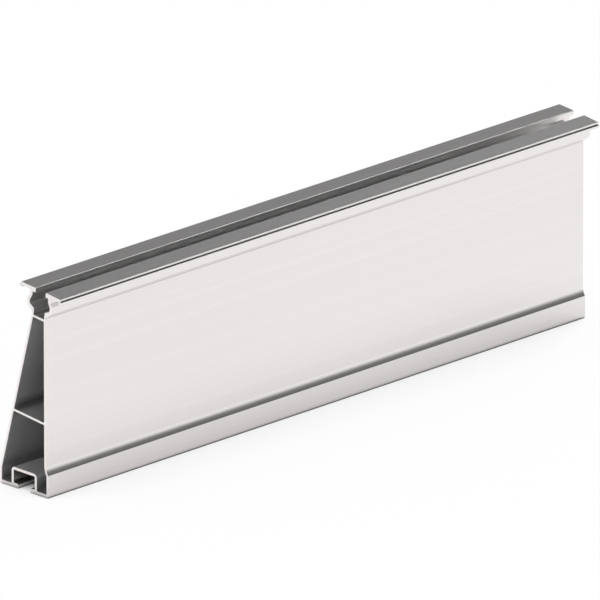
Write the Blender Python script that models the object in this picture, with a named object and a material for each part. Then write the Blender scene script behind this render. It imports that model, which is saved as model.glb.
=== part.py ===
"""Solar mounting rail: one length of extruded aluminium, cut square at both ends.

The section stands on a wide foot with a bolt channel in its underside, leans in to a narrow head on
an upright front wall and a slanted back wall, and ends in two clamping flanges with a bolt slot
between them. Two hollow chambers run through it, one on each side of the middle web.

The section is drawn in two numbers: across, which runs from the foot's front face to the back, and
up, which starts at the floor. The rail lies along X, its front faces -Y, and its origin is the middle
of its box, on the floor.
"""

import math

import bmesh
import bpy
from mathutils import Vector

MILLIMETRE = 0.001

# Driving sizes, in millimetres and degrees.
RAIL_LENGTH = 570.0

# The foot and its bolt channel.
FOOT_WIDTH = 51.0
FOOT_PLATE = 3.0
FOOT_HEIGHT = 18.0
FOOT_CORNER_RADIUS = 1.3
CHANNEL_WIDTH = 22.3
CHANNEL_DEPTH = 14.1
CHANNEL_WALL = 2.2
CHANNEL_MOUTH = 13.0
CHANNEL_LIP = 3.8
CHANNEL_LIP_RADIUS = 0.8
CHANNEL_OUTER_RADIUS = 3.0
CHANNEL_INNER_RADIUS = 0.5

# The walls and the webs between them.
WALL = 1.8
WEB = 1.8
FRONT_SETBACK = 2.35
FRONT_SWEEP_RADIUS = 13.0
BACK_KNEE_HEIGHT = 13.0
BACK_KNEE_RADIUS = 4.0
MIDDLE_WEB_HEIGHT = 59.1
CHAMBER_RADIUS = 0.6

# The bolt slot in the head, which leans towards the front.
HEAD_HEIGHT = 162.9
HEAD_TILT = 6.0
SLOT_MOUTH = 10.5
SLOT_LIP = 3.8
SLOT_NECK_WIDTH = 16.6
SLOT_NECK_DEPTH = 6.5
SLOT_BELLY_WIDTH = 21.0
SLOT_BELLY_TOP = 10.9
SLOT_BELLY_FLOOR = 13.8
SLOT_BELLY_RADIUS = 1.2
SLOT_KEEL_WIDTH = 11.3
SLOT_KEEL_TOP = 16.5
SLOT_DEPTH = 21.8
SLOT_LIP_RADIUS = 0.6
SLOT_INNER_RADIUS = 0.5
KEEL_FRONT_WALL = 1.5
KEEL_BACK_WALL = 1.9

# The outside of the head: its two flanges with stepped tips, and the swelling round the slot.
FLANGE_SPAN = 44.4
FLANGE_THICKNESS = 2.6
FLANGE_DROOP = 1.1
FLANGE_ROOT_RADIUS = 0.8
TIP_STEP_WIDTH = 1.4
TIP_STEP_DEPTH = 2.4
TIP_DEPTH = 4.3
TIP_WIDTH = 2.5
TIP_RADIUS = 0.15
NECK_WIDTH = 21.8
SWELL_WIDTH = 26.0
SWELL_TOP = 7.35
SWELL_SHOULDER = 9.1
SWELL_FLOOR = 15.1
SWELL_TOP_RADIUS = 0.6
SWELL_RADIUS = 0.8
SWELL_FOOT_RADIUS = 0.5
SWELL_UNDERSIDE = 42.0

ARC_STEP = 15.0
FINE_ARC_STEP = 4.0
LONGEST_FILLET = 0.45
UPRIGHT = Vector((0.0, 1.0))


def leaning(tilt):
    """The unit vectors along and square to a line that rises towards the back by this many degrees."""
    angle = math.radians(tilt)
    along = Vector((math.cos(angle), math.sin(angle)))
    return along, Vector((-along.y, along.x))


def meeting(first, first_way, second, second_way):
    """The point where two lines cross, each given by a point and a direction."""
    gap = second - first
    share = gap.cross(second_way) / first_way.cross(second_way)
    return first + first_way * share


def arc(centre, radius, start, end, step):
    """Points on an arc, from one angle to the other, in degrees."""
    count = max(1, math.ceil(abs(end - start) / step))
    angles = [math.radians(start + (end - start) * index / count) for index in range(count + 1)]
    return [centre + radius * Vector((math.cos(angle), math.sin(angle))) for angle in angles]


def corner_points(before, corner, after, radius):
    """The corner itself or, where it has a radius, points on the arc that touches both of its sides."""
    if radius == 0:
        return [corner]
    back_way = before - corner
    front_way = after - corner
    half_angle = back_way.angle(front_way) / 2
    reach = min(radius / math.tan(half_angle), LONGEST_FILLET * min(back_way.length, front_way.length))
    radius = reach * math.tan(half_angle)
    bisector = (back_way.normalized() + front_way.normalized()).normalized()
    centre = corner + bisector * (radius / math.sin(half_angle))
    first = corner + back_way.normalized() * reach - centre
    last = corner + front_way.normalized() * reach - centre
    start = math.degrees(math.atan2(first.y, first.x))
    turn = math.degrees(math.atan2(first.cross(last), first.dot(last)))
    return arc(centre, radius, start, start + turn, ARC_STEP)


def rounded(corners):
    """A closed outline from its corners and their radii."""
    outline = []
    for index, (corner, radius) in enumerate(corners):
        before = corners[index - 1][0]
        after = corners[(index + 1) % len(corners)][0]
        outline.extend(corner_points(before, corner, after, radius))
    return outline


class Head:
    """The leaning frame of the head: sideways from the slot's middle to the back, and up from the flange tops."""

    def __init__(self):
        self.along, self.square = leaning(HEAD_TILT)
        keel_corner = -SLOT_KEEL_WIDTH / 2 * self.along - SLOT_DEPTH * self.square
        self.middle = Vector((FRONT_SETBACK + KEEL_FRONT_WALL - keel_corner.x, HEAD_HEIGHT))

    def place(self, sideways, up):
        return self.middle + sideways * self.along + up * self.square


def back_wall(head):
    """The knee at the foot of the back wall's outer face, and the face's way up to beside the slot's floor."""
    knee = Vector((FOOT_WIDTH, BACK_KNEE_HEIGHT))
    keel = head.place(SLOT_KEEL_WIDTH / 2 + KEEL_BACK_WALL, -SLOT_DEPTH)
    return knee, (keel - knee).normalized()


def back_wall_inside(head):
    """A point on the back wall's inner face, and the face's way up."""
    knee, way = back_wall(head)
    return knee + Vector((-way.y, way.x)) * WALL, way


def channel_corners():
    """The open bolt channel under the foot, from its front lip over the roof to its back lip."""
    middle = FOOT_WIDTH / 2
    half = [
        (CHANNEL_MOUTH / 2, 0.0, 0.0),
        (CHANNEL_MOUTH / 2, CHANNEL_LIP, CHANNEL_LIP_RADIUS),
        (CHANNEL_WIDTH / 2, CHANNEL_LIP, CHANNEL_INNER_RADIUS),
        (CHANNEL_WIDTH / 2, CHANNEL_DEPTH, CHANNEL_INNER_RADIUS),
    ]
    front = [(Vector((middle - sideways, up)), radius) for sideways, up, radius in half]
    back = [(Vector((middle + sideways, up)), radius) for sideways, up, radius in reversed(half)]
    return front + back


def flange_corners(head, side):
    """One flange and the swelling under it, from the slot's mouth outwards and down. The side is 1 or -1."""
    droop = math.tan(math.radians(FLANGE_DROOP))
    tip = FLANGE_SPAN / 2
    shoulder = tip - TIP_STEP_WIDTH
    top = -droop * (shoulder - SLOT_MOUTH / 2)
    under = top - FLANGE_THICKNESS
    points = [
        (SLOT_MOUTH / 2, 0.0, SLOT_LIP_RADIUS),
        (shoulder, top, TIP_RADIUS),
        (shoulder, -TIP_STEP_DEPTH, 0.0),
        (tip, -TIP_STEP_DEPTH, TIP_RADIUS),
        (tip, -TIP_DEPTH, TIP_RADIUS),
        (tip - TIP_WIDTH, -TIP_DEPTH, TIP_RADIUS),
        (tip - TIP_WIDTH, under, TIP_RADIUS),
        (NECK_WIDTH / 2, under, FLANGE_ROOT_RADIUS),
        (NECK_WIDTH / 2, -SWELL_TOP, SWELL_TOP_RADIUS),
        (SWELL_WIDTH / 2, -SWELL_SHOULDER, SWELL_TOP_RADIUS),
        (SWELL_WIDTH / 2, -SWELL_FLOOR, SWELL_RADIUS),
    ]
    return [(head.place(side * sideways, up), radius) for sideways, up, radius in points]


def slot_corners(head):
    """The bolt slot in the head, from its back lip down, over the floor and up to its front lip."""
    half = [
        (SLOT_MOUTH / 2, -SLOT_LIP, SLOT_INNER_RADIUS),
        (SLOT_NECK_WIDTH / 2, -SLOT_LIP, SLOT_INNER_RADIUS),
        (SLOT_NECK_WIDTH / 2, -SLOT_NECK_DEPTH, 0.0),
        (SLOT_BELLY_WIDTH / 2, -SLOT_BELLY_TOP, SLOT_BELLY_RADIUS),
        (SLOT_BELLY_WIDTH / 2, -SLOT_BELLY_FLOOR, SLOT_BELLY_RADIUS),
        (SLOT_KEEL_WIDTH / 2, -SLOT_KEEL_TOP, SLOT_INNER_RADIUS),
        (SLOT_KEEL_WIDTH / 2, -SLOT_DEPTH, SLOT_INNER_RADIUS),
    ]
    back = [(head.place(sideways, up), radius) for sideways, up, radius in half]
    front = [(head.place(-sideways, up), radius) for sideways, up, radius in reversed(half)]
    return back + front


def swell_foot(head, side, wall_point, wall_way):
    """Where the swelling's sloping underside runs into a wall's outer face."""
    floor_corner = head.place(side * SWELL_WIDTH / 2, -SWELL_FLOOR)
    underside = side * head.along * math.cos(math.radians(SWELL_UNDERSIDE))
    underside += head.square * math.sin(math.radians(SWELL_UNDERSIDE))
    return meeting(floor_corner, underside, wall_point, wall_way)


def front_sweep(radius, low, high):
    """The hollow curve over the foot's front face, as an arc that ends upright at the front wall."""
    centre = sweep_centre()
    start = -math.degrees(math.acos((low - centre.x) / radius))
    points = arc(centre, radius, start, 0.0, FINE_ARC_STEP)
    points[-1].x = high
    return points


def sweep_centre():
    """The curve's middle, out in front of the wall and level with the curve's upper end."""
    rise = math.sqrt(FRONT_SWEEP_RADIUS**2 - (FRONT_SWEEP_RADIUS - FRONT_SETBACK) ** 2)
    return Vector((FRONT_SETBACK - FRONT_SWEEP_RADIUS, FOOT_HEIGHT + rise))


def outer_outline(head):
    """The section's one outer outline, which takes in the channel and the slot, back side first."""
    knee, back_way = back_wall(head)
    front_wall = Vector((FRONT_SETBACK, 0.0))
    corners = [(Vector((0.0, 0.0)), FOOT_CORNER_RADIUS)]
    corners += channel_corners()
    corners += [(Vector((FOOT_WIDTH, 0.0)), FOOT_CORNER_RADIUS), (knee, BACK_KNEE_RADIUS)]
    corners += [(swell_foot(head, 1, knee, back_way), SWELL_FOOT_RADIUS)]
    corners += reversed(flange_corners(head, 1))
    corners += slot_corners(head)
    corners += flange_corners(head, -1)
    corners += [(swell_foot(head, -1, front_wall, UPRIGHT), SWELL_FOOT_RADIUS)]
    sweep = front_sweep(FRONT_SWEEP_RADIUS, 0.0, FRONT_SETBACK)
    corners += [(point, 0.0) for point in reversed(sweep)]
    return rounded(corners)


def upper_chamber(head):
    """The hollow between the middle web and the slot's floor."""
    inner_back, back_way = back_wall_inside(head)
    web = Vector((FRONT_SETBACK + WALL, MIDDLE_WEB_HEIGHT))
    roof = head.place(0.0, -SLOT_DEPTH - WEB)
    corners = [
        web,
        meeting(web, head.along, inner_back, back_way),
        meeting(roof, head.along, inner_back, back_way),
        meeting(roof, head.along, web, UPRIGHT),
    ]
    return rounded([(corner, CHAMBER_RADIUS) for corner in corners])


def lower_chamber(head):
    """The hollow under the middle web, which comes down on both sides of the bolt channel."""
    inner_back, back_way = back_wall_inside(head)
    web = Vector((FRONT_SETBACK + WALL, MIDDLE_WEB_HEIGHT))
    under_web = web - head.square * WEB
    channel_front = (FOOT_WIDTH - CHANNEL_WIDTH) / 2 - CHANNEL_WALL
    channel_back = FOOT_WIDTH - channel_front
    channel_top = CHANNEL_DEPTH + CHANNEL_WALL
    back_foot = Vector((FOOT_WIDTH - WALL, FOOT_PLATE))
    corners = [
        (Vector((WALL, FOOT_PLATE)), CHAMBER_RADIUS),
        (Vector((channel_front, FOOT_PLATE)), CHAMBER_RADIUS),
        (Vector((channel_front, channel_top)), CHANNEL_OUTER_RADIUS),
        (Vector((channel_back, channel_top)), CHANNEL_OUTER_RADIUS),
        (Vector((channel_back, FOOT_PLATE)), CHAMBER_RADIUS),
        (back_foot, CHAMBER_RADIUS),
        (meeting(back_foot, UPRIGHT, inner_back, back_way), BACK_KNEE_RADIUS),
        (meeting(under_web, head.along, inner_back, back_way), CHAMBER_RADIUS),
        (meeting(under_web, head.along, web, UPRIGHT), CHAMBER_RADIUS),
    ]
    sweep = front_sweep(FRONT_SWEEP_RADIUS + WALL, WALL, FRONT_SETBACK + WALL)
    corners += [(point, 0.0) for point in reversed(sweep)]
    return rounded(corners)


def section(head):
    """The outer outline and the two chambers, moved so that the section's box is centred and in metres."""
    outlines = [outer_outline(head), upper_chamber(head), lower_chamber(head)]
    across = [point.x for point in outlines[0]]
    middle = Vector(((min(across) + max(across)) / 2, 0.0))
    return [[(point - middle) * MILLIMETRE for point in outline] for outline in outlines]


def extruded(name, outlines, length):
    """A mesh of the filled section, drawn out along X over the whole length."""
    shape = bmesh.new()
    for outline in outlines:
        ring = [shape.verts.new((-length / 2, point.x, point.y)) for point in outline]
        for first, second in zip(ring, ring[1:] + ring[:1]):
            shape.edges.new((first, second))
    bmesh.ops.triangle_fill(shape, edges=shape.edges[:], use_beauty=True, use_dissolve=False)
    swept = bmesh.ops.extrude_face_region(shape, geom=shape.faces[:])
    far_end = [item for item in swept["geom"] if isinstance(item, bmesh.types.BMVert)]
    bmesh.ops.translate(shape, verts=far_end, vec=(length, 0.0, 0.0))
    bmesh.ops.recalc_face_normals(shape, faces=shape.faces[:])
    mesh = bpy.data.meshes.new(name)
    shape.to_mesh(mesh)
    shape.free()
    return mesh


def mill_aluminium():
    """Plain extruded aluminium, a little dull."""
    material = bpy.data.materials.new("mill_aluminium")
    material.use_nodes = True
    shader = material.node_tree.nodes["Principled BSDF"]
    shader.inputs["Base Color"].default_value = (0.80, 0.79, 0.78, 1.0)
    shader.inputs["Metallic"].default_value = 1.0
    shader.inputs["Roughness"].default_value = 0.35
    return material


def main():
    for old in list(bpy.data.objects):
        bpy.data.objects.remove(old)
    outlines = section(Head())
    mesh = extruded("mounting_rail", outlines, RAIL_LENGTH * MILLIMETRE)
    mesh.materials.append(mill_aluminium())
    mesh.shade_smooth()
    mesh.set_sharp_from_angle(angle=math.radians(2 * ARC_STEP))
    rail = bpy.data.objects.new("mounting_rail", mesh)
    bpy.context.scene.collection.objects.link(rail)


main()
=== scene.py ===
"""Looks of the solar mounting rail: one extruded length with die lines, eased arrises and sawn ends.

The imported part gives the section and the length, so no size of the rail is repeated here. The file is
laid out as a Blender add-on and run as a script: one operator dresses the rail, one sets the stage, and
a panel in the sidebar lists them with their values.
"""

import math

import bpy
import numpy as np
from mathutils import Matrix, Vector
from mathutils.geometry import tessellate_polygon


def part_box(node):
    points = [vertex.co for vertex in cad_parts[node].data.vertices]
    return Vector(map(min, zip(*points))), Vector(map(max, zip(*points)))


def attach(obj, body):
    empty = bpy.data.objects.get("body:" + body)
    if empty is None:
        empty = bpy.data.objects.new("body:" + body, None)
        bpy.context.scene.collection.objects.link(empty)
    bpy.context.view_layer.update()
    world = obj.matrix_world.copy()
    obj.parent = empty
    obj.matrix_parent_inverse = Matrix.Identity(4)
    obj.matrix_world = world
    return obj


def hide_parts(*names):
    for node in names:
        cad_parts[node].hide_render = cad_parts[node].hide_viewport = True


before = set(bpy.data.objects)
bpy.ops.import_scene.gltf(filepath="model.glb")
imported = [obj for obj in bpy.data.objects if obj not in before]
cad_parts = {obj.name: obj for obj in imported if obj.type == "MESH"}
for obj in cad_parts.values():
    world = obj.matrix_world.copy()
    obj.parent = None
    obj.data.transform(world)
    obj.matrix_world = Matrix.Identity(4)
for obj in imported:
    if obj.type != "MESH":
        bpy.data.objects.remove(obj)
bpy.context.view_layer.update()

bl_info = {
    "name": "Solar Mounting Rail",
    "version": (1, 0, 0),
    "blender": (4, 5, 0),
    "location": "View3D > Sidebar > Rail",
    "description": "Dresses an extruded mounting rail and sets a plain white studio round it",
    "category": "Object",
}

NODE = "mounting_rail"

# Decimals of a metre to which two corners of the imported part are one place.
SAME_PLACE = 6

# Points round each eased corner, stations round each cut edge and stations along the rail.
ARC_POINTS = 5
CUT_STATIONS = 4
LENGTH_STATIONS = 16

# Share of a corner's shorter side that its easing takes up at most.
LONGEST_EASING = 0.4

# The floor's rings and the points on each.
FLOOR_RINGS = 4
FLOOR_SIDES = 96

# Open shares of the sky under which the floor counts as hidden by the rail, and over which as open.
HIDDEN_FLOOR = 0.15
OPEN_FLOOR = 0.45

# Rays by which an open share is found.
OPEN_SHARE_SAMPLES = 4

# Scale and detail of each noise: over the die lines' stretched places, and to the metre on a sawn end.
FINE_LINES = (1.0, 2.0)
BROAD_STREAKS = (0.07, 3.0)
MARK_SWING = (60.0, 2.0)
MARK_STRENGTH = (400.0, 1.0)

# Saw marks by which the swinging noise shifts them at most.
SWUNG_MARKS = 3.0

# Sockets of a Mix node that is set to colours.
MIX_FACTOR, MIX_FIRST, MIX_SECOND, MIX_RESULT = 0, 6, 7, 2

# Reflections that light may take inside the chambers and the slot.
MOST_REFLECTIONS = 16

# Further reflections that a softbox's light may take: none, as they would only speckle the slot.
SOFTBOX_REFLECTIONS = 0

# How far the camera sees, in times its distance to what it looks at.
CAMERA_REACH = 5.0

WHITE = (1.0, 1.0, 1.0, 1.0)

# The rail's materials, in the order of its slots.
OUTSIDE, CHAMBER, SAWN = range(3)


class RailEdges(bpy.types.PropertyGroup):
    """How crisp the rail's edges are."""

    arris_radius: bpy.props.FloatProperty(
        name="Arris radius",
        description="Radius of the crisp edges along the rail, as the die leaves them",
        default=0.0002,
        min=0.0,
        unit="LENGTH",
        precision=5,
    )
    cut_radius: bpy.props.FloatProperty(
        name="Cut edge radius",
        description="Radius that deburring leaves on the sawn ends' edges",
        default=0.00012,
        min=0.0,
        unit="LENGTH",
        precision=5,
    )
    crisp_turn: bpy.props.FloatProperty(
        name="Crisp turn",
        description="A corner of the section that turns by more than this is eased with an arc",
        default=math.radians(20.0),
        subtype="ANGLE",
    )


class PressedFinish(bpy.types.PropertyGroup):
    """The pressed metal, the lines that the die draws along it, and the shade painted into its corners."""

    metal: bpy.props.FloatVectorProperty(
        name="Metal",
        description="Colour that the bare aluminium reflects",
        default=(0.895, 0.893, 0.890),
        subtype="COLOR",
        min=0.0,
        max=1.0,
    )
    # Painted light: a lighter, cooler copy of the metal for the chambers, which lifts their shaded walls
    # and cancels the warm tint that the mirrored floor gives them.
    chamber_painted_light_metal: bpy.props.FloatVectorProperty(
        name="Chamber metal",
        description="Colour that the clean aluminium inside the chambers reflects",
        default=(0.945, 0.952, 0.956),
        subtype="COLOR",
        min=0.0,
        max=1.0,
    )
    roughness: bpy.props.FloatProperty(
        name="Roughness",
        description="Middle roughness of the outer faces",
        default=0.25,
        subtype="FACTOR",
        min=0.0,
        max=1.0,
    )
    chamber_roughness: bpy.props.FloatProperty(
        name="Chamber roughness",
        description="Middle roughness inside the chambers, which the die's core leaves duller",
        default=0.49,
        subtype="FACTOR",
        min=0.0,
        max=1.0,
    )
    roughness_spread: bpy.props.FloatProperty(
        name="Roughness spread",
        description="How much the roughness changes from line to line",
        default=0.04,
        min=0.0,
        max=1.0,
    )
    line_width: bpy.props.FloatProperty(
        name="Line width",
        description="Width of the finest die lines",
        default=0.0006,
        unit="LENGTH",
        precision=5,
    )
    line_length: bpy.props.FloatProperty(
        name="Line length",
        description="Distance along the rail over which a die line fades",
        default=3.0,
        unit="LENGTH",
    )
    contrast: bpy.props.FloatProperty(
        name="Streak contrast",
        description="How far the streaks lighten and darken the metal",
        default=0.06,
        min=0.0,
        max=1.0,
    )
    # Painted shade: the outside's colour is darkened within this distance of facing metal, in creases and
    # inner corners.
    painted_crease_shade_reach: bpy.props.FloatProperty(
        name="Crease reach",
        description="Distance within which facing metal dulls the outside, as in inner corners",
        default=0.001,
        unit="LENGTH",
        precision=4,
    )
    # Painted shade in the chambers: their walls' colour is darkened within this distance of facing metal.
    painted_chamber_shade_reach: bpy.props.FloatProperty(
        name="Chamber crease reach",
        description="Distance within which facing metal dulls the chambers' walls",
        default=0.010,
        unit="LENGTH",
    )
    # How strongly the painted shade darkens the outside's colour.
    painted_crease_shade_power: bpy.props.FloatProperty(
        name="Crease shade",
        description="Power of a place's open share by which the outside dulls there",
        default=3.0,
        min=0.0,
    )
    # How strongly the painted shade darkens the chambers' walls.
    painted_chamber_shade_power: bpy.props.FloatProperty(
        name="Chamber crease shade",
        description="Power of a place's open share by which the chambers' walls dull there",
        default=1.0,
        min=0.0,
    )
    line_depth: bpy.props.FloatProperty(
        name="Line depth",
        description="Depth of the die lines",
        default=0.000002,
        unit="LENGTH",
        precision=6,
    )


class SawnFinish(bpy.types.PropertyGroup):
    """The cut ends, with the arcs that a saw blade leaves."""

    metal: bpy.props.FloatVectorProperty(
        name="Metal",
        description="Colour that the freshly cut aluminium reflects",
        default=(0.96, 0.955, 0.95),
        subtype="COLOR",
        min=0.0,
        max=1.0,
    )
    roughness: bpy.props.FloatProperty(
        name="Roughness",
        description="Roughness of the sawn ends",
        default=0.42,
        subtype="FACTOR",
        min=0.0,
        max=1.0,
    )
    mark_spacing: bpy.props.FloatProperty(
        name="Mark spacing",
        description="Distance from one saw mark to the next",
        default=0.0007,
        unit="LENGTH",
        precision=5,
    )
    mark_depth: bpy.props.FloatProperty(
        name="Mark depth",
        description="Depth of the saw marks",
        default=0.000004,
        unit="LENGTH",
        precision=6,
    )
    blade_centre: bpy.props.FloatVectorProperty(
        name="Blade centre",
        description="Middle of the saw blade, beside the section and low down",
        default=(0.0, -0.16, 0.03),
        subtype="TRANSLATION",
    )


class RailStudio(bpy.types.PropertyGroup):
    """The white floor, the soft light and the camera."""

    floor_colour: bpy.props.FloatVectorProperty(
        name="Floor",
        description="Colour of the floor",
        default=(0.93, 0.93, 0.93),
        subtype="COLOR",
        min=0.0,
        max=1.0,
    )
    floor_radius: bpy.props.FloatProperty(
        name="Floor radius",
        description="Radius of the round floor",
        default=12.0,
        unit="LENGTH",
    )
    floor_glow: bpy.props.FloatProperty(
        name="Floor glow",
        description="Share of the open floor's white that no shadow darkens for the camera",
        default=0.93,
        subtype="FACTOR",
        min=0.0,
        max=1.0,
    )
    mirrored_floor: bpy.props.FloatVectorProperty(
        name="Mirrored floor",
        description="Colour in which the metal mirrors the floor and the foot of the backdrop",
        default=(0.95, 0.915, 0.905),
        subtype="COLOR",
        min=0.0,
        max=1.0,
    )
    contact_shade: bpy.props.FloatProperty(
        name="Contact shade",
        description="Power of its open share by which the mirrored floor darkens near the object",
        default=0.62,
        min=0.0,
    )
    contact_reach: bpy.props.FloatProperty(
        name="Contact reach",
        description="Distance over which the object darkens the mirrored floor",
        default=0.11,
        unit="LENGTH",
    )
    contact_line: bpy.props.FloatProperty(
        name="Contact line",
        description="Reach of the dark line right at the object's edge",
        default=0.005,
        unit="LENGTH",
    )
    line_shade: bpy.props.FloatProperty(
        name="Line shade",
        description="Power of the open share by which that line darkens",
        default=3.5,
        min=0.0,
    )
    dome_level: bpy.props.FloatProperty(
        name="Dome level",
        description="Brightness of the even light from all round",
        default=0.92,
        min=0.0,
    )
    ceiling_edge: bpy.props.FloatVectorProperty(
        name="Ceiling's edge",
        description="Grey that the metal reflects just over the backdrop",
        default=(0.182, 0.179, 0.178),
        subtype="COLOR",
        min=0.0,
        max=1.0,
    )
    ceiling: bpy.props.FloatVectorProperty(
        name="Ceiling",
        description="Grey that the metal reflects from high over the backdrop",
        default=(0.120, 0.117, 0.116),
        subtype="COLOR",
        min=0.0,
        max=1.0,
    )
    backdrop_low: bpy.props.FloatProperty(
        name="Backdrop fades from",
        description="Height above the horizon at which the white backdrop starts to fade",
        default=math.radians(0.0),
        subtype="ANGLE",
    )
    backdrop_high: bpy.props.FloatProperty(
        name="Backdrop fades to",
        description="Height above the horizon at which the backdrop has faded into the ceiling",
        default=math.radians(18.0),
        subtype="ANGLE",
    )
    ceiling_height: bpy.props.FloatProperty(
        name="Ceiling height",
        description="Angle above level from which the ceiling is evenly dark",
        default=math.radians(36.0),
        subtype="ANGLE",
    )
    backdrop_lean: bpy.props.FloatProperty(
        name="Backdrop lean",
        description="Angle by which the backdrop's upper edge is higher behind the rail than level",
        default=math.radians(6.0),
        subtype="ANGLE",
    )
    key_power: bpy.props.FloatProperty(
        name="Key power",
        description="Power of the softbox over the camera's left shoulder",
        default=6.0,
        unit="POWER",
    )
    key_place: bpy.props.FloatVectorProperty(
        name="Key place",
        description="Where that softbox hangs",
        default=(-1.1, -0.7, 1.8),
        subtype="TRANSLATION",
    )
    key_size: bpy.props.FloatProperty(
        name="Key size",
        description="Side of that softbox, which is square",
        default=1.2,
        unit="LENGTH",
    )
    edge_power: bpy.props.FloatProperty(
        name="Edge power",
        description="Power of the softbox past the rail's far end, which lights the slot and the edges",
        default=135.0,
        unit="POWER",
    )
    edge_place: bpy.props.FloatVectorProperty(
        name="Edge place",
        description="Where that softbox hangs",
        default=(8.25, 3.5, 8.5),
        subtype="TRANSLATION",
    )
    edge_size: bpy.props.FloatProperty(
        name="Edge size",
        description="Side of that softbox, which is far off, so that it lights the rail evenly",
        default=3.4,
        unit="LENGTH",
    )
    azimuth: bpy.props.FloatProperty(
        name="Camera azimuth",
        description="Turn of the camera from the rail's front towards its near end",
        default=math.radians(44.988),
        subtype="ANGLE",
    )
    elevation: bpy.props.FloatProperty(
        name="Camera elevation",
        description="Height of the camera above the horizon",
        default=math.radians(19.474),
        subtype="ANGLE",
    )
    distance: bpy.props.FloatProperty(
        name="Camera distance",
        description="Distance from the camera to the point that it looks at",
        default=21.25,
        unit="LENGTH",
    )
    picture_width: bpy.props.FloatProperty(
        name="Picture width",
        description="Width of the picture where the rail stands",
        default=0.45,
        unit="LENGTH",
    )
    look_at: bpy.props.FloatVectorProperty(
        name="Look at",
        description="The point at the middle of the picture",
        default=(-0.002, 0.0, 0.0818),
        subtype="TRANSLATION",
    )


def end_outlines(node):
    """The outlines of the node's low-X end, each as an array of (across, up) points.

    An edge that only one of the end's triangles has lies on an outline and leads from one corner to the
    next. The corners are put in order by doubling: in each round a corner adds, to its count of steps
    back to the first corner of its ring, the count of the corner it points at, then points twice as far.
    """
    mesh = node.data
    mesh.calc_loop_triangles()
    places = np.empty(len(mesh.vertices) * 3, np.float32)
    mesh.vertices.foreach_get("co", places)
    triangles = np.empty(len(mesh.loop_triangles) * 3, np.int32)
    mesh.loop_triangles.foreach_get("vertices", triangles)
    places = np.round(places.reshape(-1, 3).astype(float), SAME_PLACE)
    places, merged = np.unique(places, axis=0, return_inverse=True)
    triangles = merged.reshape(-1)[triangles].reshape(-1, 3)
    on_end = places[:, 0] == places[:, 0].min()
    triangles = triangles[on_end[triangles].all(axis=1)]
    edges = np.concatenate([triangles[:, [0, 1]], triangles[:, [1, 2]], triangles[:, [2, 0]]])
    _, kind, uses = np.unique(np.sort(edges, axis=1), axis=0, return_inverse=True, return_counts=True)
    starts, ends = edges[uses[kind.reshape(-1)] == 1].T
    corners, first_seen = np.unique(starts, return_index=True)
    after = np.searchsorted(corners, ends[first_seen])
    rounds = range(len(after).bit_length())
    ring = np.arange(len(after))
    ahead = after
    for _ in rounds:
        ring = np.minimum(ring, ring[ahead])
        ahead = ahead[ahead]
    firsts = np.unique(ring)
    back = np.argsort(after)
    back[firsts] = firsts
    steps = np.ones(len(after), int)
    steps[firsts] = 0
    for _ in rounds:
        steps = steps + steps[back]
        back = back[back]
    order = np.lexsort((steps, ring))
    return [places[corners[order[ring[order] == first]], 1:] for first in firsts]


def to_the_left(ways):
    """Each (across, up) way turned a quarter turn to its left."""
    return np.stack([-ways[..., 1], ways[..., 0]], axis=-1)


def eased(outline, radius, crisp_turn):
    """The outline with a small arc in place of each crisp corner.

    At a corner that turns by an angle t, the arc starts r tan(t / 2) before the corner, or two fifths of
    the shorter side where that is less. With u the way in, n the way to its left and R the arc's radius,
    its points are start + R (sin(s t) u + (1 - cos(s t)) n), for shares s from 0 to 1.
    """
    arriving = outline - np.roll(outline, 1, axis=0)
    leaving = np.roll(arriving, -1, axis=0)
    length = np.linalg.norm(arriving, axis=1)
    shorter = np.minimum(length, np.roll(length, -1))
    turn = np.arctan2((to_the_left(arriving) * leaving).sum(axis=1), (arriving * leaving).sum(axis=1))
    crisp = np.abs(turn) > crisp_turn
    turn = np.where(crisp, turn, crisp_turn)
    reach = np.minimum(radius * np.tan(np.abs(turn) / 2), LONGEST_EASING * shorter)
    way = arriving / length[:, None]
    angle = (turn[:, None] * np.linspace(0.0, 1.0, ARC_POINTS))[..., None]
    swing = np.sin(angle) * way[:, None] + (1.0 - np.cos(angle)) * to_the_left(way)[:, None]
    bend = (reach / np.tan(np.abs(turn) / 2))[:, None, None]
    points = (outline - way * reach[:, None])[:, None] + bend * swing * np.sign(turn)[:, None, None]
    points[~crisp, 0] = outline[~crisp]
    kept = np.arange(ARC_POINTS) < np.where(crisp, ARC_POINTS, 1)[:, None]
    return points[kept]


def outline_normals(outline):
    """Unit normals at the outline's corners, away from the metal, which lies on the outline's right.

    Each is the mean of the two adjoining sides' normals, weighted by the square of their lengths, so a
    flat face keeps its own normal right up to the arc beside it.
    """
    side = np.roll(outline, -1, axis=0) - outline
    weighted = to_the_left(side) * np.linalg.norm(side, axis=1)[:, None]
    total = weighted + np.roll(weighted, 1, axis=0)
    return total / np.linalg.norm(total, axis=1)[:, None]


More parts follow.
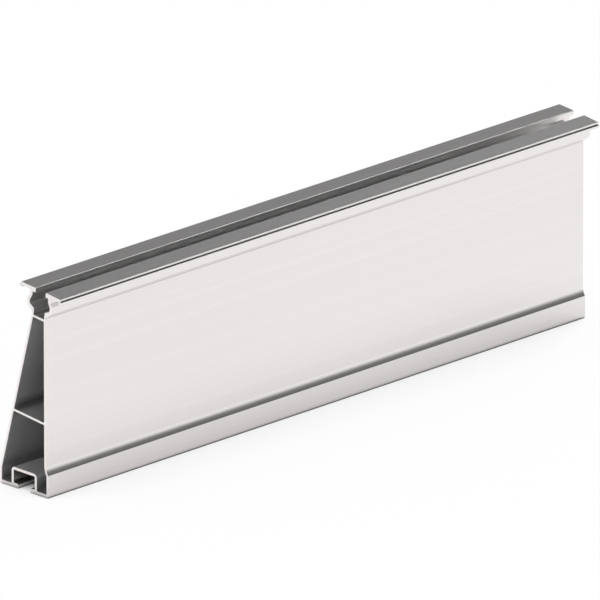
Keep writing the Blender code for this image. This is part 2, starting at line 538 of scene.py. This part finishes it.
def swept(outline, normal, low, high, cut_radius):
    """Places and normals on the rail's sides: a grid of stations along the rail by points of the section.

    Round a cut edge of radius c, an angle a runs from 0 on the end face to a quarter turn on the side.
    The station lies c (1 - cos a) inside the end, the section is drawn in by c (1 - sin a) along its
    normal n, and the surface normal is cos a outwards along the rail plus n sin a.
    """
    angle = np.linspace(0.0, math.pi / 2, CUT_STATIONS)
    inside = cut_radius * (1.0 - np.cos(angle))
    between = np.linspace(low + cut_radius, high - cut_radius, LENGTH_STATIONS)[1:-1]
    along = np.concatenate([low + inside, between, high - inside[::-1]])
    flat = np.zeros(len(between))
    rounding = cut_radius * (1.0 - np.sin(angle))
    drawn_in = np.concatenate([rounding, flat, rounding[::-1]])
    outward = np.concatenate([-np.cos(angle), flat, np.cos(angle[::-1])])
    sideways = np.sqrt(1.0 - outward**2)
    section = outline[None] - drawn_in[:, None, None] * normal[None]
    column = np.ones(len(outline))
    places = np.dstack([along[:, None] * column, section])
    normals = np.dstack([outward[:, None] * column, sideways[:, None, None] * normal[None]])
    return places, normals


def end_triangles(outlines, facing):
    """Triangles that fill the section between its outlines, facing along +X, or along -X if told -1."""
    rings = [[Vector((*point, 0.0)) for point in outline] for outline in outlines]
    triangles = np.array(tessellate_polygon(rings))
    first, second, third = np.concatenate(outlines)[triangles].transpose(1, 0, 2)
    turned = np.sign((to_the_left(second - first) * (third - first)).sum(axis=1)) != facing
    triangles[turned] = triangles[turned, ::-1]
    return triangles


def rail_mesh(name, outlines, low, high, edges):
    """The rail's skin as one closed mesh: the swept sides with their eased cut edges, and the end faces.

    The tallest outline is the rail's outside, and the others are its chambers.
    """
    outlines = [eased(outline, edges.arris_radius, edges.crisp_turn) for outline in outlines]
    counts = [len(outline) for outline in outlines]
    starts = np.cumsum([0, *counts[:-1]])
    normal = np.concatenate([outline_normals(outline) for outline in outlines])
    places, normals = swept(np.concatenate(outlines), normal, low, high, edges.cut_radius)
    stations, width = places.shape[:2]
    rings = [start + np.arange(count) for start, count in zip(starts, counts)]
    following = np.concatenate([np.roll(ring, -1) for ring in rings])
    row = np.arange(stations - 1)[:, None] * width
    here = row + np.arange(width)
    beside = row + following
    quads = np.stack([here, here + width, beside + width, beside], axis=-1).reshape(-1, 4)
    cut_outlines = np.split(places[0, :, 1:], starts[1:])
    low_end = end_triangles(cut_outlines, -1)
    high_end = end_triangles(cut_outlines, 1) + (stations - 1) * width

    tallest = np.argmax([np.ptp(outline[:, 1]) for outline in outlines])
    pressed = np.where(np.arange(len(outlines)) == tallest, OUTSIDE, CHAMBER)
    slots = np.full(here.shape, SAWN)
    slots[CUT_STATIONS - 1 : 1 - CUT_STATIONS] = np.repeat(pressed, counts)
    slots = np.concatenate([slots.reshape(-1), np.full(len(low_end) + len(high_end), SAWN)])

    mesh = bpy.data.meshes.new(name)
    mesh.from_pydata(places.reshape(-1, 3), [], [*quads.tolist(), *low_end.tolist(), *high_end.tolist()])
    mesh.polygons.foreach_set("material_index", slots.astype(np.int32))
    end_normals = np.repeat([[-1.0, 0.0, 0.0], [1.0, 0.0, 0.0]], [low_end.size, high_end.size], axis=0)
    mesh.shade_smooth()
    mesh.normals_split_custom_set(np.concatenate([normals.reshape(-1, 3)[quads.reshape(-1)], end_normals]))
    return mesh


def add(tree, kind, inputs, **settings):
    """A new node in a tree. Each of its inputs is given a value, or another node's output to link."""
    node = tree.nodes.new(kind)
    for name, value in settings.items():
        setattr(node, name, value)
    for name, value in inputs.items():
        if isinstance(value, bpy.types.NodeSocket):
            tree.links.new(value, node.inputs[name])
        else:
            node.inputs[name].default_value = value
    return node


def maths(tree, operation, *values):
    """The output of a Math node over these values and outputs."""
    return add(tree, "ShaderNodeMath", dict(enumerate(values)), operation=operation).outputs[0]


def vector_maths(tree, operation, *values):
    """The vector output of a Vector Math node over these values and outputs."""
    node = add(tree, "ShaderNodeVectorMath", dict(enumerate(values)), operation=operation)
    return node.outputs["Vector"]


def scaled(tree, vector, scale):
    """A vector or colour times a number."""
    node = add(tree, "ShaderNodeVectorMath", {0: vector, "Scale": scale}, operation="SCALE")
    return node.outputs["Vector"]


def noise(tree, place, kind):
    """A noise from 0 to 1 over places, of one kind: its scale and detail."""
    scale, detail = kind
    node = add(tree, "ShaderNodeTexNoise", {"Vector": place, "Scale": scale, "Detail": detail})
    return node.outputs["Fac"]


def colour_mix(tree, factor, first, second):
    """The colour at a share of the way from the first to the second."""
    inputs = {MIX_FACTOR: factor, MIX_FIRST: first, MIX_SECOND: second}
    return add(tree, "ShaderNodeMix", inputs, data_type="RGBA").outputs[MIX_RESULT]


def new_group(name, inputs, outputs):
    """A shader node group with named inputs and outputs, and its inner sockets for both."""
    group = bpy.data.node_groups.new(name, "ShaderNodeTree")
    for label, kind in inputs.items():
        group.interface.new_socket(name=label, in_out="INPUT", socket_type="NodeSocket" + kind)
    for label, kind in outputs.items():
        group.interface.new_socket(name=label, in_out="OUTPUT", socket_type="NodeSocket" + kind)
    return group, group.nodes.new("NodeGroupInput").outputs, group.nodes.new("NodeGroupOutput").inputs


def die_lines_group():
    """The lines that a die draws along an extrusion: streaks of tone, roughness and height.

    Object coordinates are divided by the lines' length along the rail and by their width across it, so
    a noise over them makes long thin lines on faces of any slope. A second noise at a slower rate makes
    the broad streaks. The tone is the sum of both less 1. The colour is the metal's times 1 plus the tone
    times the contrast, and the roughness is raised by the tone times its spread.
    """
    group, given, out = new_group(
        "die_lines",
        {
            "Metal": "Color",
            "Line Width": "Float",
            "Line Length": "Float",
            "Contrast": "Float",
            "Roughness": "Float",
            "Roughness Spread": "Float",
        },
        {"Colour": "Color", "Roughness": "Float", "Height": "Float"},
    )
    place = add(group, "ShaderNodeTexCoord", {}).outputs["Object"]
    across = maths(group, "DIVIDE", 1.0, given["Line Width"])
    along = maths(group, "DIVIDE", 1.0, given["Line Length"])
    rates = add(group, "ShaderNodeCombineXYZ", {"X": along, "Y": across, "Z": across}).outputs["Vector"]
    stretched = vector_maths(group, "MULTIPLY", place, rates)
    fine = noise(group, stretched, FINE_LINES)
    broad = noise(group, stretched, BROAD_STREAKS)
    tone = maths(group, "SUBTRACT", maths(group, "ADD", fine, broad), 1.0)
    lightness = maths(group, "MULTIPLY_ADD", tone, given["Contrast"], 1.0)
    group.links.new(scaled(group, given["Metal"], lightness), out["Colour"])
    roughness = maths(group, "MULTIPLY_ADD", tone, given["Roughness Spread"], given["Roughness"])
    group.links.new(roughness, out["Roughness"])
    group.links.new(fine, out["Height"])
    return group


def saw_marks_group():
    """The arcs that a saw blade leaves on a cut face.

    With d the distance from the blade's centre, the height is the sine of 2 pi d / spacing. A slow noise
    shifts d a little, so the marks swing, and a quicker one makes them of uneven strength.
    """
    group, given, out = new_group("saw_marks", {"Centre": "Vector", "Spacing": "Float"}, {"Marks": "Float"})
    place = add(group, "ShaderNodeTexCoord", {}).outputs["Object"]
    from_centre = vector_maths(group, "SUBTRACT", place, given["Centre"])
    in_face = vector_maths(group, "MULTIPLY", from_centre, (0.0, 1.0, 1.0))
    reach = add(group, "ShaderNodeVectorMath", {0: in_face}, operation="LENGTH").outputs["Value"]
    turns = maths(group, "DIVIDE", reach, given["Spacing"])
    swung = maths(group, "MULTIPLY_ADD", noise(group, place, MARK_SWING), SWUNG_MARKS, turns)
    wave = maths(group, "SINE", maths(group, "MULTIPLY", swung, 2.0 * math.pi))
    uneven = maths(group, "MULTIPLY", wave, noise(group, place, MARK_STRENGTH))
    group.links.new(maths(group, "MULTIPLY_ADD", uneven, 0.5, 0.5), out["Marks"])
    return group


def new_material(name):
    """A material, its node tree and its Principled BSDF."""
    material = bpy.data.materials.new(name)
    material.use_nodes = True
    tree = material.node_tree
    return material, tree, tree.nodes["Principled BSDF"]


def open_share(tree, reach, **settings):
    """The share of a place's surroundings that nothing hides within this reach."""
    settings["samples"] = OPEN_SHARE_SAMPLES
    return add(tree, "ShaderNodeAmbientOcclusion", {"Distance": reach}, **settings).outputs["AO"]


def pressed_aluminium(name, group, finish, colour, roughness, painted_crease_shade_reach, painted_crease_shade_power):
    """Aluminium as it leaves the die, with lines along it and painted shade in its inner corners.

    Its colour is the lines' colour times the open share within the painted shade's reach, to the power of
    the painted shade's power, so shade is painted into the colour where facing metal is near.
    """
    material, tree, metal = new_material(name)
    lines = add(
        tree,
        "ShaderNodeGroup",
        {
            "Metal": (*colour, 1.0),
            "Line Width": finish.line_width,
            "Line Length": finish.line_length,
            "Contrast": finish.contrast,
            "Roughness": roughness,
            "Roughness Spread": finish.roughness_spread,
        },
        node_tree=group,
    ).outputs
    relief = add(tree, "ShaderNodeBump", {"Height": lines["Height"], "Distance": finish.line_depth})
    # Painted shade: the lines' colour is darkened where facing metal is near, in creases and inner corners.
    painted_shade = maths(tree, "POWER", open_share(tree, painted_crease_shade_reach, only_local=True), painted_crease_shade_power)
    metal.inputs["Metallic"].default_value = 1.0
    tree.links.new(scaled(tree, lines["Colour"], painted_shade), metal.inputs["Base Color"])
    tree.links.new(lines["Roughness"], metal.inputs["Roughness"])
    tree.links.new(relief.outputs["Normal"], metal.inputs["Normal"])
    return material


def sawn_aluminium(name, lines_group, marks_group, finish, cut):
    """Aluminium where the saw went through it: the same metal with arcs across it."""
    material, tree, metal = new_material(name)
    lines = add(
        tree,
        "ShaderNodeGroup",
        {
            "Metal": (*cut.metal, 1.0),
            "Line Width": finish.line_width,
            "Line Length": finish.line_length,
            "Contrast": finish.contrast,
        },
        node_tree=lines_group,
    ).outputs
    marks = add(
        tree,
        "ShaderNodeGroup",
        {"Centre": cut.blade_centre, "Spacing": cut.mark_spacing},
        node_tree=marks_group,
    ).outputs
    relief = add(tree, "ShaderNodeBump", {"Height": marks["Marks"], "Distance": cut.mark_depth})
    metal.inputs["Metallic"].default_value = 1.0
    metal.inputs["Roughness"].default_value = cut.roughness
    tree.links.new(lines["Colour"], metal.inputs["Base Color"])
    tree.links.new(relief.outputs["Normal"], metal.inputs["Normal"])
    return material


class OBJECT_OT_dress_mounting_rail(bpy.types.Operator):
    """Draw the rail's skin from its packed section, with eased edges and aluminium finishes."""

    bl_idname = "object.dress_mounting_rail"
    bl_label = "Dress the rail"
    bl_options = {"REGISTER", "UNDO"}

    def execute(self, context):
        scene = context.scene
        low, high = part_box(NODE)
        outlines = end_outlines(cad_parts[NODE])
        mesh = rail_mesh("rail_skin", outlines, low[0], high[0], scene.rail_edges)
        finish = scene.rail_finish
        lines = die_lines_group()
        marks = saw_marks_group()
        # Each look: its metal, its roughness, and the reach and power of the shade painted into its
        # corners.
        looks = {
            "pressed_outside": (finish.metal, finish.roughness, finish.painted_crease_shade_reach, finish.painted_crease_shade_power),
            "pressed_chamber": (
                finish.chamber_painted_light_metal,
                finish.chamber_roughness,
                finish.painted_chamber_shade_reach,
                finish.painted_chamber_shade_power,
            ),
        }
        for name, look in looks.items():
            mesh.materials.append(pressed_aluminium(name, lines, finish, *look))
        mesh.materials.append(sawn_aluminium("sawn_end", lines, marks, finish, scene.rail_cut))
        rail = bpy.data.objects.new("rail_skin", mesh)
        scene.collection.objects.link(rail)
        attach(rail, "root")
        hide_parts(NODE)
        return {"FINISHED"}


def round_floor(radius):
    """A flat disc: points at share s of the radius and angle a are at radius s (cos a, sin a)."""
    shares = np.linspace(0.0, 1.0, FLOOR_RINGS + 1)[1:]
    angles = np.linspace(0.0, 2.0 * math.pi, FLOOR_SIDES + 1)[:-1]
    share, angle = np.meshgrid(shares, angles, indexing="ij")
    places = np.dstack([share * np.cos(angle), share * np.sin(angle), np.zeros(share.shape)])
    places = places.reshape(-1, 3) * radius
    here = np.arange(FLOOR_SIDES)
    beside = np.roll(here, -1)
    row = np.arange(FLOOR_RINGS - 1)[:, None] * FLOOR_SIDES
    further = row + FLOOR_SIDES
    quads = np.stack([row + here, further + here, further + beside, row + beside], axis=-1).reshape(-1, 4)
    middle = np.stack([np.full(FLOOR_SIDES, len(places)), here, beside], axis=-1)
    mesh = bpy.data.meshes.new("floor")
    mesh.from_pydata([*places.tolist(), (0.0, 0.0, 0.0)], [], [*quads.tolist(), *middle.tolist()])
    return mesh


def floor_paint(studio):
    """Matt white for matt things, nearly pure white to the camera, and white with a contact shade to metal.

    With a the open share of a place's sky within the contact's reach: the camera sees the lit floor mixed
    with plain white, which fades out where a is small, as under the object. A glossy ray sees the mirrored
    floor's colour times a to the power of the contact shade, times the open share within the contact
    line's reach to the power of the line's shade. The last draws the thin dark line right at the object.
    """
    material, tree, paint = new_material("floor_paint")
    paint.inputs["Base Color"].default_value = (*studio.floor_colour, 1.0)
    paint.inputs["Roughness"].default_value = 1.0
    paint.inputs["Specular IOR Level"].default_value = 0.0
    path = add(tree, "ShaderNodeLightPath", {}).outputs
    sky = open_share(tree, studio.contact_reach)
    open_floor = add(
        tree,
        "ShaderNodeMapRange",
        {"Value": sky, "From Min": HIDDEN_FLOOR, "From Max": OPEN_FLOOR, "To Max": studio.floor_glow},
    ).outputs["Result"]
    white = add(tree, "ShaderNodeEmission", {"Color": WHITE, "Strength": 1.0})
    glow = maths(tree, "MULTIPLY", path["Is Camera Ray"], open_floor)
    shaders = {0: glow, 1: paint.outputs["BSDF"], 2: white.outputs["Emission"]}
    seen = add(tree, "ShaderNodeMixShader", shaders)
    contact = maths(tree, "POWER", sky, studio.contact_shade)
    line = maths(tree, "POWER", open_share(tree, studio.contact_line), studio.line_shade)
    shade = maths(tree, "MULTIPLY", contact, line)
    mirrored = add(tree, "ShaderNodeEmission", {"Color": (*studio.mirrored_floor, 1.0), "Strength": shade})
    both = add(
        tree,
        "ShaderNodeMixShader",
        {0: path["Is Glossy Ray"], 1: seen.outputs["Shader"], 2: mirrored.outputs["Emission"]},
    )
    tree.links.new(both.outputs["Shader"], tree.nodes["Material Output"].inputs["Surface"])
    return material


def studio_world(studio):
    """White to the camera, an even dome to matt things, and to metal a white backdrop and a grey ceiling.

    A glossy ray's way is measured against an upright that leans forward, so the backdrop stands higher
    behind the rail. The angle above the level square to that upright takes it from the backdrop to the
    ceiling's edge, and from there on to the even ceiling.
    """
    world = bpy.data.worlds.new("studio")
    world.use_nodes = True
    tree = world.node_tree
    way = add(tree, "ShaderNodeTexCoord", {}).outputs["Generated"]
    upright = (0.0, -math.sin(studio.backdrop_lean), math.cos(studio.backdrop_lean))
    rise = add(tree, "ShaderNodeVectorMath", {0: way, 1: upright}, operation="DOT_PRODUCT")
    height = maths(tree, "ARCSINE", rise.outputs["Value"])
    over_backdrop = add(
        tree,
        "ShaderNodeMapRange",
        {"Value": height, "From Min": studio.backdrop_low, "From Max": studio.backdrop_high},
        interpolation_type="SMOOTHSTEP",
    ).outputs["Result"]
    over_edge = add(
        tree,
        "ShaderNodeMapRange",
        {"Value": height, "From Min": studio.backdrop_high, "From Max": studio.ceiling_height},
    ).outputs["Result"]
    ceiling = colour_mix(tree, over_edge, (*studio.ceiling_edge, 1.0), (*studio.ceiling, 1.0))
    mirrored = colour_mix(tree, over_backdrop, (*studio.mirrored_floor, 1.0), ceiling)
    path = add(tree, "ShaderNodeLightPath", {}).outputs
    dome = (*(studio.dome_level,) * 3, 1.0)
    lighting = colour_mix(tree, path["Is Glossy Ray"], dome, mirrored)
    seen = colour_mix(tree, path["Is Camera Ray"], lighting, WHITE)
    tree.links.new(seen, tree.nodes["Background"].inputs["Color"])
    world.cycles.sampling_method = "NONE"
    return world


def aimed(thing, place, target):
    """Puts a lamp or camera at a place, looking at a target."""
    thing.location = place
    thing.rotation_euler = (Vector(target) - Vector(place)).to_track_quat("-Z", "Y").to_euler()


class OBJECT_OT_set_rail_studio(bpy.types.Operator):
    """Lay the floor, set the lights and the world, and place the camera as the photograph was taken."""

    bl_idname = "object.set_rail_studio"
    bl_label = "Set the studio"
    bl_options = {"REGISTER", "UNDO"}

    def execute(self, context):
        scene = context.scene
        studio = scene.rail_studio
        mesh = round_floor(studio.floor_radius)
        mesh.materials.append(floor_paint(studio))
        floor = bpy.data.objects.new("floor", mesh)
        scene.collection.objects.link(floor)

        scene.world = studio_world(studio)
        boxes = {
            "key_softbox": (studio.key_power, studio.key_place, studio.key_size),
            "edge_softbox": (studio.edge_power, studio.edge_place, studio.edge_size),
        }
        for name, (power, place, size) in boxes.items():
            lamp = bpy.data.lights.new(name, "AREA")
            lamp.energy = power
            lamp.size = size
            lamp.cycles.max_bounces = SOFTBOX_REFLECTIONS
            softbox = bpy.data.objects.new(name, lamp)
            scene.collection.objects.link(softbox)
            aimed(softbox, place, studio.look_at)

        lens = bpy.data.cameras.new("camera")
        lens.lens = lens.sensor_width * studio.distance / studio.picture_width
        lens.clip_end = CAMERA_REACH * studio.distance
        camera = bpy.data.objects.new("camera", lens)
        scene.collection.objects.link(camera)
        flat = math.cos(studio.elevation)
        across = -flat * math.cos(studio.azimuth)
        along = -flat * math.sin(studio.azimuth)
        way = Vector((along, across, math.sin(studio.elevation)))
        aimed(camera, Vector(studio.look_at) + studio.distance * way, studio.look_at)
        scene.camera = camera
        scene.view_settings.view_transform = "Standard"
        scene.cycles.max_bounces = MOST_REFLECTIONS
        scene.cycles.glossy_bounces = MOST_REFLECTIONS
        return {"FINISHED"}


class VIEW3D_PT_mounting_rail(bpy.types.Panel):
    """The rail's and the studio's values, each above the button that uses them."""

    bl_label = "Solar Mounting Rail"
    bl_space_type = "VIEW_3D"
    bl_region_type = "UI"
    bl_category = "Rail"

    def draw(self, context):
        scene = context.scene
        self.listed(scene.rail_edges)
        self.listed(scene.rail_finish)
        self.listed(scene.rail_cut)
        self.layout.operator(OBJECT_OT_dress_mounting_rail.bl_idname)
        self.listed(scene.rail_studio)
        self.layout.operator(OBJECT_OT_set_rail_studio.bl_idname)

    def listed(self, group):
        """Lists a group's values in a box."""
        box = self.layout.box()
        for name in group.__annotations__:
            box.prop(group, name)


CLASSES = (
    RailEdges,
    PressedFinish,
    SawnFinish,
    RailStudio,
    OBJECT_OT_dress_mounting_rail,
    OBJECT_OT_set_rail_studio,
    VIEW3D_PT_mounting_rail,
)


def register():
    for kind in CLASSES:
        bpy.utils.register_class(kind)
    bpy.types.Scene.rail_edges = bpy.props.PointerProperty(type=RailEdges)
    bpy.types.Scene.rail_finish = bpy.props.PointerProperty(type=PressedFinish)
    bpy.types.Scene.rail_cut = bpy.props.PointerProperty(type=SawnFinish)
    bpy.types.Scene.rail_studio = bpy.props.PointerProperty(type=RailStudio)


def unregister():
    del bpy.types.Scene.rail_studio
    del bpy.types.Scene.rail_cut
    del bpy.types.Scene.rail_finish
    del bpy.types.Scene.rail_edges
    for kind in reversed(CLASSES):
        bpy.utils.unregister_class(kind)


def main():
    """Registers the classes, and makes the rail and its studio."""
    register()
    bpy.ops.object.dress_mounting_rail()
    bpy.ops.object.set_rail_studio()


if __name__ == "__main__":
    main()
